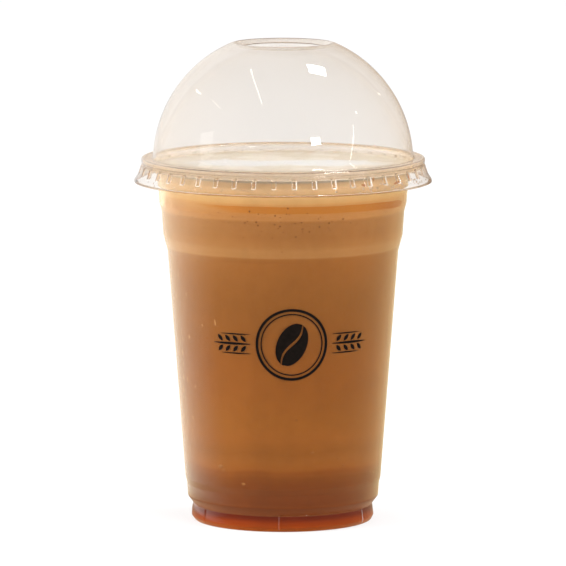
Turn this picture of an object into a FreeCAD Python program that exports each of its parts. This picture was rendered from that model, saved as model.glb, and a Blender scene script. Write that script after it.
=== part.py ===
import FreeCAD, Part
import math
import os
import Sketcher

# Takeaway cup of iced milk coffee: a clear thermoformed cup with three wall
# steps and a lobed foot, filled nearly to the brim in three layers, under a
# clear dome lid with a straw hole and a ribbed, flared skirt.
# Millimetres, +Z up, origin at the middle of the standing ring (z = 0).
# Azimuths are counted from -Y (the front) towards +X.

os.makedirs("parts", exist_ok=True)
doc = FreeCAD.newDocument("iced_coffee")

# ---------------------------------------------------------------- dimensions
SIZES = [
    # cup wall and floor
    ("cup_wall", 0.45),
    ("floor_rise", 3.2),          # underside of the pushed-up floor panel
    ("floor_radius", 23.8),
    ("stand_inner", 27.4),        # standing ring, inner and outer radius
    ("stand_outer", 30.25),
    ("foot_low_radius", 31.02),   # foot wall between the lobes
    ("foot_low_height", 1.5),
    ("foot_top_radius", 30.52),
    ("foot_top_height", 5.55),
    ("foot_round", 0.9),
    ("notch_round", 0.35),
    ("ledge_radius", 32.62),      # overhanging bulge above the foot
    ("ledge_height", 8.3),
    ("ledge_round", 1.1),
    ("band_low_radius", 32.9),    # short band, then the lowest step
    ("band_low_height", 12.6),
    ("step_low_radius", 33.44),
    ("step_low_height", 14.8),
    ("wall_top_radius", 39.34),   # long tapered wall
    ("wall_top_height", 92.6),
    ("step_mid_radius", 40.82),   # middle step
    ("step_mid_height", 98.1),
    ("band_top_radius", 41.36),
    ("band_top_height", 106.2),
    ("step_top_radius", 42.12),   # top step
    ("step_top_height", 109.0),
    ("neck_radius", 42.86),
    ("neck_height", 118.2),
    ("step_round", 4.0),
    ("fine_round", 1.6),
    # rolled rim
    ("rim_inner_radius", 44.3),
    ("rim_radius", 47.5),
    ("rim_height", 123.95),
    ("rim_under", 121.2),
    ("rim_round", 1.2),
    ("rim_bore_round", 0.75),
    # lobes of the foot
    ("lobe_low_radius", 31.27),
    ("lobe_top_radius", 31.0),
    ("lobe_top_height", 5.7),
    ("lobe_angle", 64.0),
    ("lobe_phase", 29.0),
    ("lobe_count", 3),
    # lid
    ("lid_wall", 0.4),
    ("hole_radius", 12.6),
    ("hole_height", 162.1),
    ("funnel_radius", 14.4),
    ("crest_radius", 16.75),
    ("crest_height", 163.62),
    ("crest_round", 0.7),
    ("dome_radius", 44.4),        # sphere of the dome
    ("dome_centre", 122.7),
    ("dome_top_radius", 18.2),
    ("dome_foot_height", 125.9),
    ("dome_base_radius", 44.62),
    ("flange_height", 124.45),
    ("flange_round", 0.45),
    ("bead_radius", 48.38),
    ("bead_round", 0.85),
    ("bead_low_height", 122.95),
    ("crease_radius", 48.02),
    ("crease_height", 122.45),
    ("skirt_top_radius", 48.4),
    ("skirt_top_height", 121.95),
    ("skirt_mid_radius", 49.45),
    ("skirt_mid_height", 118.85),
    ("lip_radius", 50.28),
    ("lip_height", 117.3),
    ("tip_radius", 50.74),
    ("tip_height", 116.35),
    ("rib_count", 45),
    ("rib_width", 1.4),
    ("rib_depth", 0.35),
    ("rib_low", 118.95),
    ("rib_high", 121.75),
    ("rib_phase", 3.6),
    # contents
    ("settled_height", 20.2),
    ("froth_low", 113.1),
    ("froth_high", 121.25),
    ("froth_edge", 0.35),         # the froth climbs the wall by this much
]
D = dict(SIZES)
sheet = doc.addObject("Spreadsheet::Sheet", "sizes")
for row, (alias, value) in enumerate(SIZES, start=1):
    sheet.set("A%d" % row, alias)
    sheet.set("B%d" % row, repr(value))
    sheet.setAlias("B%d" % row, alias)
doc.recompute()


# ------------------------------------------------------------------- helpers
# A coordinate is a sum of named sizes: {"rim_radius": 1, "cup_wall": -1}.
def size(**terms):
    return dict(terms)


def value_of(terms):
    return sum(k * D[a] for a, k in terms.items())


def text_of(terms):
    return " + ".join("%r * sizes.%s" % (k, a) for a, k in terms.items())


def plane_of(body, role):
    for feature in body.Origin.OriginFeatures:
        if feature.Role == role:
            return feature
    raise RuntimeError(role)


def arc_of(centre, p, q, radius):
    """The shorter arc from p to q about centre."""
    middle = centre + ((p + q) * 0.5 - centre).normalize() * radius
    turn = [math.atan2(v.y - centre.y, v.x - centre.x) for v in (p, middle, q)]
    sweep = (turn[2] - turn[0] + math.pi) % (2 * math.pi) - math.pi
    first, last = (turn[0], turn[0] + sweep) if sweep > 0 else (turn[2], turn[2] - sweep)
    circle = Part.Circle(centre, FreeCAD.Vector(0, 0, 1), radius)
    return Part.ArcOfCircle(circle, first, last)


class Rules:
    """Constraints of one sketch, added together, some bound to sizes."""

    def __init__(self):
        self.rules = []
        self.bound = []

    def add(self, *what, bound=None):
        if bound:
            self.bound.append((len(self.rules), bound))
        self.rules.append(Sketcher.Constraint(*what))

    def pin(self, geo, pos, rx, rz):
        """Fix a point at the sizes rx, rz; no terms means on the axis."""
        if rx:
            self.add("DistanceX", -1, 1, geo, pos, value_of(rx), bound=text_of(rx))
        else:
            self.add("PointOnObject", geo, pos, -2)
        if rz:
            self.add("DistanceY", -1, 1, geo, pos, value_of(rz), bound=text_of(rz))
        else:
            self.add("PointOnObject", geo, pos, -1)

    def put(self, sketch):
        sketch.addConstraint(self.rules)
        for i, text in self.bound:
            sketch.setExpression("Constraints[%d]" % i, text)


def profile(body, name, corners, turn=0.0):
    """Closed profile in the XZ plane. Each corner is (rx, rz, round, arc):
    round is the size that rounds the corner, arc the radius size of the edge
    that leaves it (the centre lies towards the axis)."""
    sk = body.newObject("Sketcher::SketchObject", name)
    sk.AttachmentSupport = [(plane_of(body, "XZ_Plane"), "")]
    sk.MapMode = "FlatFace"
    if turn:
        sk.AttachmentOffset = FreeCAD.Placement(
            FreeCAD.Vector(), FreeCAD.Rotation(FreeCAD.Vector(0, 1, 0), turn))
    n = len(corners)
    pts = [FreeCAD.Vector(value_of(c[0]), value_of(c[1]), 0) for c in corners]
    cut = []
    for k in range(n):
        rnd = corners[k][2]
        if rnd:
            a = (pts[k - 1] - pts[k]).normalize()
            b = (pts[(k + 1) % n] - pts[k]).normalize()
            half = math.acos(max(-1, min(1, a.dot(b)))) / 2
            run = D[rnd] / math.tan(half)
            mid = (a + b).normalize()
            centre = pts[k] + mid * (D[rnd] / math.sin(half))
            cut.append((pts[k] + a * run, pts[k] + b * run, centre))
        else:
            cut.append((pts[k], pts[k], None))
    shapes = []
    for k in range(n):
        p, q = cut[k][1], cut[(k + 1) % n][0]
        arc = corners[k][3]
        if arc:
            rad = D[arc]
            chord = q - p
            m = (p + q) * 0.5
            off = math.sqrt(rad * rad - (chord.Length / 2) ** 2)
            side = FreeCAD.Vector(-chord.y, chord.x, 0).normalize()
            if (m + side * off).x > (m - side * off).x:
                side = side * -1
            c = m + side * off
            shapes.append(arc_of(c, p, q, rad))
        else:
            shapes.append(Part.LineSegment(p, q))
    extra = []
    rules = Rules()

    def ends(k):
        """Start and end point numbers of edge k in profile order."""
        g, p = shapes[k], cut[k][1]
        return (1, 2) if (g.StartPoint - p).Length < 1e-6 else (2, 1)

    for k in range(n):
        before, after = (k - 1) % n, k
        eb, sa = ends(before)[1], ends(k)[0]
        rx, rz, rnd, _ = corners[k]
        if rnd:
            p, q, c = cut[k]
            g = n + len(extra)
            fillet = arc_of(c, p, q, D[rnd])
            extra.append((fillet, False))
            first = (fillet.StartPoint - p).Length < 1e-6
            s1, s2 = (1, 2) if first else (2, 1)
            rules.add("Tangent", before, eb, g, s1)
            rules.add("Tangent", after, sa, g, s2)
            rules.add("Radius", g, D[rnd], bound="sizes.%s" % rnd)
            corner = n + len(extra)
            extra.append((Part.Point(pts[k]), True))
            rules.add("PointOnObject", corner, 1, before)
            rules.add("PointOnObject", corner, 1, after)
            rules.pin(corner, 1, rx, rz)
        else:
            rules.add("Coincident", before, eb, after, sa)
            rules.pin(after, sa, rx, rz)
    for k in range(n):
        if corners[k][3]:
            rules.add("Radius", k, D[corners[k][3]], bound="sizes.%s" % corners[k][3])
    sk.addGeometry(shapes, False)
    for g, construction in extra:
        sk.addGeometry(g, construction)
    rules.put(sk)
    return sk


def revolve(body, name, sketch, angle=360.0, angle_size=None):
    rev = body.newObject("PartDesign::Revolution", name)
    rev.Profile = sketch
    rev.ReferenceAxis = (sketch, ["V_Axis"])
    if angle_size:
        rev.Midplane = True
        rev.setExpression("Angle", "sizes.%s" % angle_size)
    else:
        rev.Angle = angle
    doc.recompute()
    return rev


def polar(body, name, features, count_size):
    pat = body.newObject("PartDesign::PolarPattern", name)
    pat.Originals = features
    axis = [f for f in body.Origin.OriginFeatures if f.Role == "Z_Axis"][0]
    pat.Axis = (axis, [""])
    pat.Angle = 360
    pat.setExpression("Occurrences", "sizes.%s" % count_size)
    body.Tip = pat
    doc.recompute()
    return pat


def new_body(name):
    body = doc.addObject("PartDesign::Body", name)
    body.Label = name
    return body


W = "cup_wall"

# ----------------------------------------------------------------------- cup
cup = new_body("cup")
outer = [
    (size(), size(floor_rise=1), None, None),
    (size(floor_radius=1), size(floor_rise=1), "fine_round", None),
    (size(stand_inner=1), size(), "foot_round", None),
    (size(stand_outer=1), size(), None, None),
    (size(foot_low_radius=1), size(foot_low_height=1), None, None),
    (size(foot_top_radius=1), size(foot_top_height=1), "notch_round", None),
    (size(ledge_radius=1), size(ledge_height=1), "ledge_round", None),
    (size(band_low_radius=1), size(band_low_height=1), "fine_round", None),
    (size(step_low_radius=1), size(step_low_height=1), "fine_round", None),
    (size(wall_top_radius=1), size(wall_top_height=1), "step_round", None),
    (size(step_mid_radius=1), size(step_mid_height=1), "step_round", None),
    (size(band_top_radius=1), size(band_top_height=1), "fine_round", None),
    (size(step_top_radius=1), size(step_top_height=1), "fine_round", None),
    (size(neck_radius=1), size(neck_height=1), "step_round", None),
    (size(rim_inner_radius=1), size(rim_under=1, cup_wall=0.5), None, None),
    (size(rim_inner_radius=1, cup_wall=0.6), size(rim_height=1, cup_wall=-1), "rim_bore_round", None),
    (size(rim_radius=1, cup_wall=-1), size(rim_height=1, cup_wall=-1), "rim_bore_round", None),
    (size(rim_radius=1, cup_wall=-1), size(rim_under=1), None, None),
    (size(rim_radius=1), size(rim_under=1), None, None),
    (size(rim_radius=1), size(rim_height=1), "rim_round", None),
    (size(rim_inner_radius=1, cup_wall=-0.4), size(rim_height=1), "rim_round", None),
]
# the inside of the wall, from the rim down to the floor
inner = [
    (size(rim_inner_radius=1, cup_wall=-1), size(rim_under=1, cup_wall=0.5), None, None),
    (size(neck_radius=1, cup_wall=-1), size(neck_height=1), "step_round", None),
    (size(step_top_radius=1, cup_wall=-1), size(step_top_height=1), "fine_round", None),
    (size(band_top_radius=1, cup_wall=-1), size(band_top_height=1), "fine_round", None),
    (size(step_mid_radius=1, cup_wall=-1), size(step_mid_height=1), "step_round", None),
    (size(wall_top_radius=1, cup_wall=-1), size(wall_top_height=1), "step_round", None),
    (size(step_low_radius=1, cup_wall=-1), size(step_low_height=1), "fine_round", None),
    (size(band_low_radius=1, cup_wall=-1), size(band_low_height=1), "fine_round", None),
    (size(ledge_radius=1, cup_wall=-1), size(ledge_height=1, cup_wall=0.4), "ledge_round", None),
    (size(foot_top_radius=1, cup_wall=-1), size(foot_top_height=1, cup_wall=0.3), "notch_round", None),
    (size(foot_low_radius=1, cup_wall=-1), size(foot_low_height=1), None, None),
    (size(stand_outer=1, cup_wall=-0.6), size(cup_wall=1), None, None),
    (size(stand_inner=1, cup_wall=0.6), size(cup_wall=1), "foot_round", None),
    (size(floor_radius=1, cup_wall=0.3), size(floor_rise=1, cup_wall=1), "fine_round", None),
    (size(), size(floor_rise=1, cup_wall=1), None, None),
]
wall = profile(cup, "cup_profile", outer + inner)
shell = revolve(cup, "cup_shell", wall)
# three raised lobes round the foot, each fused into the foot wall
lobe_sketch = profile(cup, "lobe_profile", [
    (size(stand_outer=1, cup_wall=-0.8), size(), None, None),
    (size(stand_outer=1, cup_wall=0.2), size(), None, None),
    (size(lobe_low_radius=1), size(foot_low_height=1, cup_wall=-0.3), "foot_round", None),
    (size(lobe_top_radius=1), size(lobe_top_height=1), None, None),
    (size(foot_top_radius=1, cup_wall=-0.5), size(lobe_top_height=1), None, None),
    (size(foot_top_radius=1, cup_wall=-0.5), size(foot_low_height=1), None, None),
], turn=D["lobe_phase"] - 90.0)
lobe = revolve(cup, "lobe", lobe_sketch, angle_size="lobe_angle")
polar(cup, "lobes", [lobe], "lobe_count")

# ----------------------------------------------------------------------- lid
lid = new_body("lid")
L = "lid_wall"
lid_outer = [
    (size(hole_radius=1), size(hole_height=1), None, None),
    (size(funnel_radius=1), size(hole_height=1), None, None),
    (size(crest_radius=1), size(crest_height=1), "crest_round", None),
    (size(dome_top_radius=1), size(), None, "dome_radius"),      # height set below
    (size(), size(dome_foot_height=1), None, None),              # radius set below
    (size(dome_base_radius=1), size(flange_height=1), "flange_round", None),
    (size(bead_radius=1), size(flange_height=1), "bead_round", None),
    (size(bead_radius=1), size(bead_low_height=1), None, None),
    (size(crease_radius=1), size(crease_height=1), None, None),
    (size(skirt_top_radius=1), size(skirt_top_height=1), None, None),
    (size(skirt_mid_radius=1), size(skirt_mid_height=1), None, None),
    (size(lip_radius=1), size(lip_height=1), None, None),
    (size(tip_radius=1), size(tip_height=1), None, None),
]
# where the dome's sphere ends: sizes that follow from the others
D["dome_top_height"] = D["dome_centre"] + math.sqrt(D["dome_radius"] ** 2 - D["dome_top_radius"] ** 2)
D["dome_foot_radius"] = math.sqrt(D["dome_radius"] ** 2 - (D["dome_foot_height"] - D["dome_centre"]) ** 2)
D["bore_dome_radius"] = D["dome_radius"] - D["lid_wall"]
D["bore_top_radius"] = D["dome_top_radius"] - 0.2
D["bore_top_height"] = D["dome_centre"] + math.sqrt(D["bore_dome_radius"] ** 2 - D["bore_top_radius"] ** 2)
D["bore_foot_radius"] = math.sqrt(D["bore_dome_radius"] ** 2 - (D["dome_foot_height"] - D["dome_centre"]) ** 2)
row = len(SIZES) + 1
for alias, text in (
        ("dome_top_height", "=dome_centre + sqrt(dome_radius ^ 2 - dome_top_radius ^ 2)"),
        ("dome_foot_radius", "=sqrt(dome_radius ^ 2 - (dome_foot_height - dome_centre) ^ 2)"),
        ("bore_dome_radius", "=dome_radius - lid_wall"),
        ("bore_top_radius", "=dome_top_radius - 0.2"),
        ("bore_top_height", "=dome_centre + sqrt(bore_dome_radius ^ 2 - bore_top_radius ^ 2)"),
        ("bore_foot_radius", "=sqrt(bore_dome_radius ^ 2 - (dome_foot_height - dome_centre) ^ 2)")):
    sheet.set("A%d" % row, alias)
    sheet.set("B%d" % row, text)
    sheet.setAlias("B%d" % row, alias)
    row += 1
doc.recompute()
lid_outer[3] = (size(dome_top_radius=1), size(dome_top_height=1), None, "dome_radius")
lid_outer[4] = (size(dome_foot_radius=1), size(dome_foot_height=1), None, None)
lid_inner = [
    (size(tip_radius=1, lid_wall=-1), size(tip_height=1), None, None),
    (size(lip_radius=1, lid_wall=-1), size(lip_height=1), None, None),
    (size(skirt_mid_radius=1, lid_wall=-1), size(skirt_mid_height=1), None, None),
    (size(skirt_top_radius=1, lid_wall=-1), size(skirt_top_height=1), None, None),
    (size(crease_radius=1, lid_wall=-1), size(crease_height=1), None, None),
    (size(bead_radius=1, lid_wall=-1), size(bead_low_height=1), None, None),
    (size(bead_radius=1, lid_wall=-1), size(flange_height=1, lid_wall=-1), "flange_round", None),
    (size(dome_base_radius=1, lid_wall=-1), size(flange_height=1, lid_wall=-1), "flange_round", None),
    (size(bore_foot_radius=1), size(dome_foot_height=1), None, "bore_dome_radius"),
    (size(bore_top_radius=1), size(bore_top_height=1), None, None),
    (size(crest_radius=1), size(crest_height=1, lid_wall=-1.15), "crest_round", None),
    (size(funnel_radius=1, lid_wall=0.2), size(hole_height=1, lid_wall=-1), None, None),
    (size(hole_radius=1), size(hole_height=1, lid_wall=-1), None, None),
]
lid_profile = profile(lid, "lid_profile", lid_outer + lid_inner)
revolve(lid, "lid_shell", lid_profile)


def upright(body, name, corners, turn):
    """Closed straight-sided profile in the XZ plane turned about Z."""
    return profile(body, name, [(rx, rz, None, None) for rx, rz in corners], turn)


# snap ribs: short upright ribs pressed inwards under the rolled rim
rib = upright(lid, "rib_profile", [
    (size(skirt_top_radius=1, lid_wall=-1, rib_depth=-1), size(rib_high=1, rib_depth=-1)),
    (size(skirt_mid_radius=1, lid_wall=-1, rib_depth=-1), size(rib_low=1, rib_depth=1)),
    (size(skirt_mid_radius=1, lid_wall=-0.5), size(rib_low=1)),
    (size(skirt_top_radius=1, lid_wall=-0.5), size(rib_high=1)),
], -90.0 - D["rib_phase"])
rib_pad = lid.newObject("PartDesign::Pad", "rib")
rib_pad.Profile = rib
rib_pad.Midplane = True
rib_pad.setExpression("Length", "sizes.rib_width")
doc.recompute()
ribs = polar(lid, "ribs", [rib_pad], "rib_count")


# ------------------------------------------------------------------ contents
def filling(name, corners):
    body = new_body(name)
    sk = profile(body, name + "_profile", corners)
    revolve(body, name + "_solid", sk)
    return body


# the dark settled layer: the foot channel, the foot wall and the ledge

# radii of the bore where a layer ends on a tapered wall, by straight line
def on_wall(name, low_r, low_z, high_r, high_z, level):
    slope = (D[high_r] - D[low_r]) / (D[high_z] - D[low_z])
    D[name] = D[low_r] - D[W] + slope * (D[level] - D[low_z])
    global row
    sheet.set("A%d" % row, name)
    sheet.set("B%d" % row, "=%s - cup_wall + (%s - %s) / (%s - %s) * (%s - %s)" % (
        low_r, high_r, low_r, high_z, low_z, level, low_z))
    sheet.setAlias("B%d" % row, name)
    row += 1


on_wall("settled_radius", "step_low_radius", "step_low_height",
        "wall_top_radius", "wall_top_height", "settled_height")
on_wall("froth_low_radius", "step_top_radius", "step_top_height",
        "neck_radius", "neck_height", "froth_low")
D["froth_top_radius"] = D["rim_inner_radius"] - D[W]
sheet.set("A%d" % row, "froth_top_radius")
sheet.set("B%d" % row, "=rim_inner_radius - cup_wall")
sheet.setAlias("B%d" % row, "froth_top_radius")
row += 1
doc.recompute()

settled = filling("settled_layer", [
    (size(), size(floor_rise=1, cup_wall=1), None, None),
    (size(floor_radius=1, cup_wall=0.3), size(floor_rise=1, cup_wall=1), "fine_round", None),
    (size(stand_inner=1, cup_wall=0.6), size(cup_wall=1), "foot_round", None),
    (size(stand_outer=1, cup_wall=-0.6), size(cup_wall=1), None, None),
    (size(foot_low_radius=1, cup_wall=-1), size(foot_low_height=1), None, None),
    (size(foot_top_radius=1, cup_wall=-1), size(foot_top_height=1, cup_wall=0.3), "notch_round", None),
    (size(ledge_radius=1, cup_wall=-1), size(ledge_height=1, cup_wall=0.4), "ledge_round", None),
    (size(band_low_radius=1, cup_wall=-1), size(band_low_height=1), "fine_round", None),
    (size(step_low_radius=1, cup_wall=-1), size(step_low_height=1), "fine_round", None),
    (size(settled_radius=1), size(settled_height=1), None, None),
    (size(), size(settled_height=1), None, None),
])
# the milky coffee, up to the underside of the froth
coffee = filling("coffee", [
    (size(), size(settled_height=1), None, None),
    (size(settled_radius=1), size(settled_height=1), None, None),
    (size(wall_top_radius=1, cup_wall=-1), size(wall_top_height=1), "step_round", None),
    (size(step_mid_radius=1, cup_wall=-1), size(step_mid_height=1), "step_round", None),
    (size(band_top_radius=1, cup_wall=-1), size(band_top_height=1), "fine_round", None),
    (size(step_top_radius=1, cup_wall=-1), size(step_top_height=1), "fine_round", None),
    (size(froth_low_radius=1), size(froth_low=1), None, None),
    (size(), size(froth_low=1), None, None),
])
# the froth, which climbs a little where it meets the wall
froth = filling("froth", [
    (size(), size(froth_low=1), None, None),
    (size(froth_low_radius=1), size(froth_low=1), None, None),
    (size(neck_radius=1, cup_wall=-1), size(neck_height=1), "step_round", None),
    (size(froth_top_radius=1), size(rim_under=1, cup_wall=0.5), None, None),
    (size(froth_top_radius=1, froth_edge=-4), size(froth_high=1), None, None),
    (size(), size(froth_high=1), None, None),
])

# -------------------------------------------------------------- check, write
doc.recompute()
for obj in doc.Objects:
    bad = [state for state in obj.State if state in ("Invalid", "Error")]
    if bad:
        raise RuntimeError("%s is %s" % (obj.Name, bad))
solids = [cup, lid, coffee, settled, froth]
for body in solids:
    shape = body.Shape
    if shape.isNull() or not shape.isValid() or len(shape.Solids) != 1:
        raise RuntimeError("%s: not one valid solid (%d)" % (body.Label, len(shape.Solids)))
    box = shape.BoundBox
    print("%-14s volume %10.1f mm3  z %.2f..%.2f  r %.2f" % (
        body.Label, shape.Volume, box.ZMin, box.ZMax, box.XMax))
for body in solids:
    body.Shape.exportStep("parts/%s.step" % body.Label)
print("drink volume, ml: %.1f" % ((coffee.Shape.Volume + settled.Shape.Volume + froth.Shape.Volume) / 1000))
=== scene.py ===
import math
import random

import bpy
import numpy as np
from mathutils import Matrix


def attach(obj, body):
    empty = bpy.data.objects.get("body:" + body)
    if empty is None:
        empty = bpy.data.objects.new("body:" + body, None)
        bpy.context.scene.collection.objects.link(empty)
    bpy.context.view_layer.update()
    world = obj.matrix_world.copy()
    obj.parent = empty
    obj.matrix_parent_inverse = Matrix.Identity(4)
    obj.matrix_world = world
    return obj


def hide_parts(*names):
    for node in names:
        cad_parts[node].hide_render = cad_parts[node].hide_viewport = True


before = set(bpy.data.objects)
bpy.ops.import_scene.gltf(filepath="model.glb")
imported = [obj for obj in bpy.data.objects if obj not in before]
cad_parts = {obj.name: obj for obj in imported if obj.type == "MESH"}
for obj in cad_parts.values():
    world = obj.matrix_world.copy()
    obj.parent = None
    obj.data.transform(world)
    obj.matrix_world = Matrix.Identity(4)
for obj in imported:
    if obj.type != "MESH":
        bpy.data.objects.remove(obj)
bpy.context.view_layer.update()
MM = 0.001

# ------------------------------------------------------------------ sizes, mm
CUP_WALL = 0.45
LID_WALL = 0.4


# ------------------------------------------------------------- profile helpers
def fillet(points):
    """Samples a polyline of (r, z, round, steps) into (r, z) points."""
    out = []
    n = len(points)
    for i, p in enumerate(points):
        r, z = p[0], p[1]
        rad = p[2] if len(p) > 2 else 0
        if not rad or i in (0, n - 1):
            out.append((r, z))
            continue
        a = np.array(points[i - 1][:2], float) - (r, z)
        b = np.array(points[i + 1][:2], float) - (r, z)
        la, lb = np.linalg.norm(a), np.linalg.norm(b)
        a, b = a / la, b / lb
        half = math.acos(max(-1.0, min(1.0, float(a @ b)))) / 2
        run = rad / math.tan(half)
        lim = 0.48 * min(la, lb)
        if run > lim:
            rad *= lim / run
            run = lim
        centre = np.array([r, z]) + (a + b) / np.linalg.norm(a + b) * rad / math.sin(half)
        p0, p1 = np.array([r, z]) + a * run, np.array([r, z]) + b * run
        t0 = math.atan2(*(p0 - centre)[::-1])
        t1 = math.atan2(*(p1 - centre)[::-1])
        d = (t1 - t0 + math.pi) % (2 * math.pi) - math.pi
        steps = max(3, int(abs(d) / math.radians(9)) + 1)
        for k in range(steps + 1):
            t = t0 + d * k / steps
            out.append((centre[0] + rad * math.cos(t), centre[1] + rad * math.sin(t)))
    return out


def refine(points, longest):
    """Splits long stretches of a profile so that no step is over longest mm."""
    out = [points[0]]
    for p, q in zip(points, points[1:]):
        d = math.hypot(q[0] - p[0], q[1] - p[1])
        k = max(1, int(math.ceil(d / longest)))
        for j in range(1, k + 1):
            out.append((p[0] + (q[0] - p[0]) * j / k, p[1] + (q[1] - p[1]) * j / k))
    return out


def offset(points, by):
    """Moves a profile to its left by the given mm, along its own normals."""
    p = np.array(points, float)
    t = np.zeros_like(p)
    t[1:-1] = p[2:] - p[:-2]
    t[0], t[-1] = p[1] - p[0], p[-1] - p[-2]
    t /= np.linalg.norm(t, axis=1)[:, None]
    nrm = np.stack([-t[:, 1], t[:, 0]], 1)
    return [tuple(v) for v in p + nrm * by]


def make(name, verts, faces, smooth=True, sharp=None):
    """A mesh object, its faces turned outwards."""
    co = np.array(verts, float)
    tri = np.array([(f[0], f[j], f[j + 1]) for f in faces for j in range(1, len(f) - 1)])
    if np.einsum("ij,ij->i", co[tri[:, 0]], np.cross(co[tri[:, 1]], co[tri[:, 2]])).sum() < 0:
        faces = [f[::-1] for f in faces]
    me = bpy.data.meshes.new(name)
    me.from_pydata([tuple(v) for v in verts], [], faces)
    me.update()
    if smooth:
        me.polygons.foreach_set("use_smooth", [True] * len(me.polygons))
        if sharp is not None:
            me.set_sharp_from_angle(angle=math.radians(sharp))
    ob = bpy.data.objects.new(name, me)
    bpy.context.scene.collection.objects.link(ob)
    return ob


def lathe(name, profile, columns, shape=None, closed=True, sharp=38):
    """Turns a closed profile of (r, z) mm about Z at the given azimuths (degrees).
    shape(r, z, az) -> (r, z) may move each point. Points on the axis merge."""
    prof = np.array(profile, float)
    az = np.radians(np.array(columns, float))
    n, m = len(prof), len(az)
    R = np.repeat(prof[:, 0][:, None], m, 1)
    Z = np.repeat(prof[:, 1][:, None], m, 1)
    if shape is not None:
        R, Z = shape(R, Z, np.repeat(az[None, :], n, 0))
    X, Y = R * np.sin(az)[None, :], -R * np.cos(az)[None, :]
    verts, index = [], np.zeros((n, m), int)
    for i in range(n):
        if prof[i, 0] < 1e-9:
            index[i, :] = len(verts)
            verts.append((0.0, 0.0, Z[i, 0] * MM))
        else:
            index[i, :] = np.arange(len(verts), len(verts) + m)
            verts.extend(zip(X[i] * MM, Y[i] * MM, Z[i] * MM))
    faces = []
    rows = n if closed else n - 1
    for i in range(rows):
        a, b = index[i], index[(i + 1) % n]
        if prof[i, 0] < 1e-9 and prof[(i + 1) % n, 0] < 1e-9:
            continue
        for k in range(m):
            k2 = (k + 1) % m
            q = [a[k], a[k2], b[k2], b[k]]
            f = []
            for v in q:
                if v not in f:
                    f.append(int(v))
            if len(f) > 2:
                faces.append(f)
    return make(name, verts, faces, sharp=sharp)


def evenly(count, start=0.0):
    return [start + 360.0 * k / count for k in range(count)]


def smooth01(x):
    x = np.clip(x, 0, 1)
    return x * x * (3 - 2 * x)


# --------------------------------------------------------------- node helpers
class Mat:
    """Short node building for one material."""

    def __init__(self, name):
        self.m = bpy.data.materials.new(name)
        self.m.use_nodes = True
        self.nt = self.m.node_tree
        for n in list(self.nt.nodes):
            self.nt.nodes.remove(n)
        self.out = self.nt.nodes.new("ShaderNodeOutputMaterial")

    def node(self, kind, **props):
        n = self.nt.nodes.new(kind)
        for k, v in props.items():
            if k.startswith("_"):
                continue
            setattr(n, k, v)
        return n

    def link(self, a, b):
        self.nt.links.new(a, b)

    def set(self, n, **values):
        for k, v in values.items():
            n.inputs[k.replace("_", " ")].default_value = v
        return n

    def math(self, op, a, b=None, c=None, clamp=False):
        n = self.node("ShaderNodeMath", operation=op, use_clamp=clamp)
        for i, v in enumerate((a, b, c)):
            if v is None:
                continue
            if isinstance(v, (int, float)):
                n.inputs[i].default_value = v
            else:
                self.link(v, n.inputs[i])
        return n.outputs[0]

    def ramp(self, fac, stops, interp="LINEAR"):
        n = self.node("ShaderNodeValToRGB")
        cr = n.color_ramp
        cr.interpolation = interp
        while len(cr.elements) > 1:
            cr.elements.remove(cr.elements[-1])
        cr.elements[0].position, cr.elements[0].color = stops[0][0], (*stops[0][1], 1)
        for p, c in stops[1:]:
            e = cr.elements.new(p)
            e.color = (*c, 1)
        self.link(fac, n.inputs["Fac"])
        return n.outputs["Color"]

    def range(self, v, a, b, c=0.0, d=1.0, smooth=False):
        n = self.node("ShaderNodeMapRange", interpolation_type="SMOOTHSTEP" if smooth else "LINEAR")
        n.inputs["From Min"].default_value, n.inputs["From Max"].default_value = a, b
        n.inputs["To Min"].default_value, n.inputs["To Max"].default_value = c, d
        self.link(v, n.inputs["Value"])
        return n.outputs["Result"]

    def mix(self, fac, a, b, blend="MIX"):
        n = self.node("ShaderNodeMix", data_type="RGBA", blend_type=blend)
        for sock, v in ((n.inputs["Factor"], fac), (n.inputs[6], a), (n.inputs[7], b)):
            if isinstance(v, (int, float)):
                sock.default_value = v
            elif isinstance(v, tuple):
                sock.default_value = (*v, 1)
            else:
                self.link(v, sock)
        return n.outputs[2]

    def noise(self, vec, scale, detail=3.0, rough=0.5, dist=0.0):
        n = self.node("ShaderNodeTexNoise")
        self.set(n, Scale=scale, Detail=detail, Roughness=rough, Distortion=dist)
        self.link(vec, n.inputs["Vector"])
        return n.outputs["Fac"]

    def bump(self, height, strength, distance):
        n = self.node("ShaderNodeBump")
        n.inputs["Strength"].default_value = strength
        n.inputs["Distance"].default_value = distance
        self.link(height, n.inputs["Height"])
        return n.outputs["Normal"]


def srgb(r, g, b):
    """Linear colour of an sRGB one."""
    return tuple((c / 255 / 12.92) if c <= 10.31 else ((c / 255 + 0.055) / 1.055) ** 2.4 for c in (r, g, b))


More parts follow.
